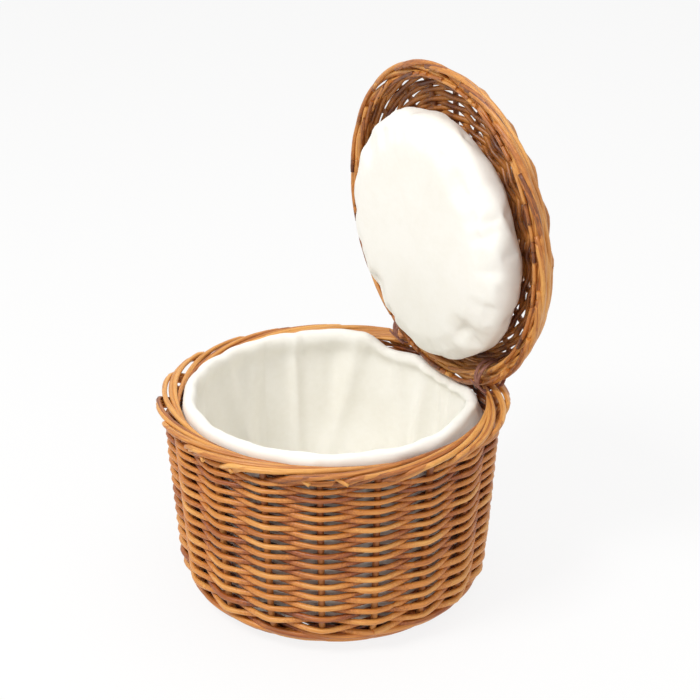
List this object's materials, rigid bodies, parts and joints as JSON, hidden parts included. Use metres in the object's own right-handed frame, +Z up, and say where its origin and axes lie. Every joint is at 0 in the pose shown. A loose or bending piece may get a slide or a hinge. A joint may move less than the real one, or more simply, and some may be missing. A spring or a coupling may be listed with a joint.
{
  "type": "lidded willow basket",
  "caption": "Round woven willow basket with a padded cotton liner and a cushioned lid hinged on two thongs, for keeping eggs.",
  "frame": {"origin": "centre of the foot ring, on the surface that the basket stands on", "axes": "+Z up, +Y towards the hinge at the back, +X along the hinge line"},
  "size_m": [0.32, 0.3199, 0.4727],
  "materials": {
    "weave": "varnished",
    "rod": "varnished",
    "cotton": "plain weave",
    "thong": "matt"
  },
  "bodies": {
    "basket": {"base_weave": "weave", "foot_wale": "rod", "side_weave": "weave", "top_border": "rod", "liner": "cotton", "hinge_thong_left": "thong", "hinge_thong_right": "thong", "base_rod_pierced_1": "rod", "base_rod_pierced_2": "rod", "base_rod_pierced_3": "rod", "base_rod_pierced_4": "rod", "base_rod_through_1": "rod", "base_rod_through_2": "rod", "base_rod_through_3": "rod", "base_rod_through_4": "rod", "base_rod_through_5": "rod", "side_stake_01": "rod", "side_stake_02": "rod", "side_stake_03": "rod", "side_stake_04": "rod", "side_stake_05": "rod", "side_stake_06": "rod", "side_stake_07": "rod", "side_stake_08": "rod", "side_stake_09": "rod", "side_stake_10": "rod", "side_stake_11": "rod", "side_stake_12": "rod", "side_stake_13": "rod", "side_stake_14": "rod", "side_stake_15": "rod", "side_stake_16": "rod", "side_stake_17": "rod", "side_stake_18": "rod", "side_stake_19": "rod"},
    "lid": {"lid_weave": "weave", "lid_border": "rod", "lid_cushion": "cotton", "lid_rod_pierced_1": "rod", "lid_rod_pierced_2": "rod", "lid_rod_pierced_3": "rod", "lid_rod_pierced_4": "rod", "lid_rod_pierced_5": "rod", "lid_rod_through_1": "rod", "lid_rod_through_2": "rod", "lid_rod_through_3": "rod", "lid_rod_through_4": "rod", "lid_rod_through_5": "rod"}
  },
  "joints": [
    {"name": "lid_hinge", "type": "hinge", "parent": "basket", "child": "lid", "pos_m": [0, 0.12516, 0.1988], "axis": [1, 0, 0], "range_deg": [0, 86.4]}
  ]
}
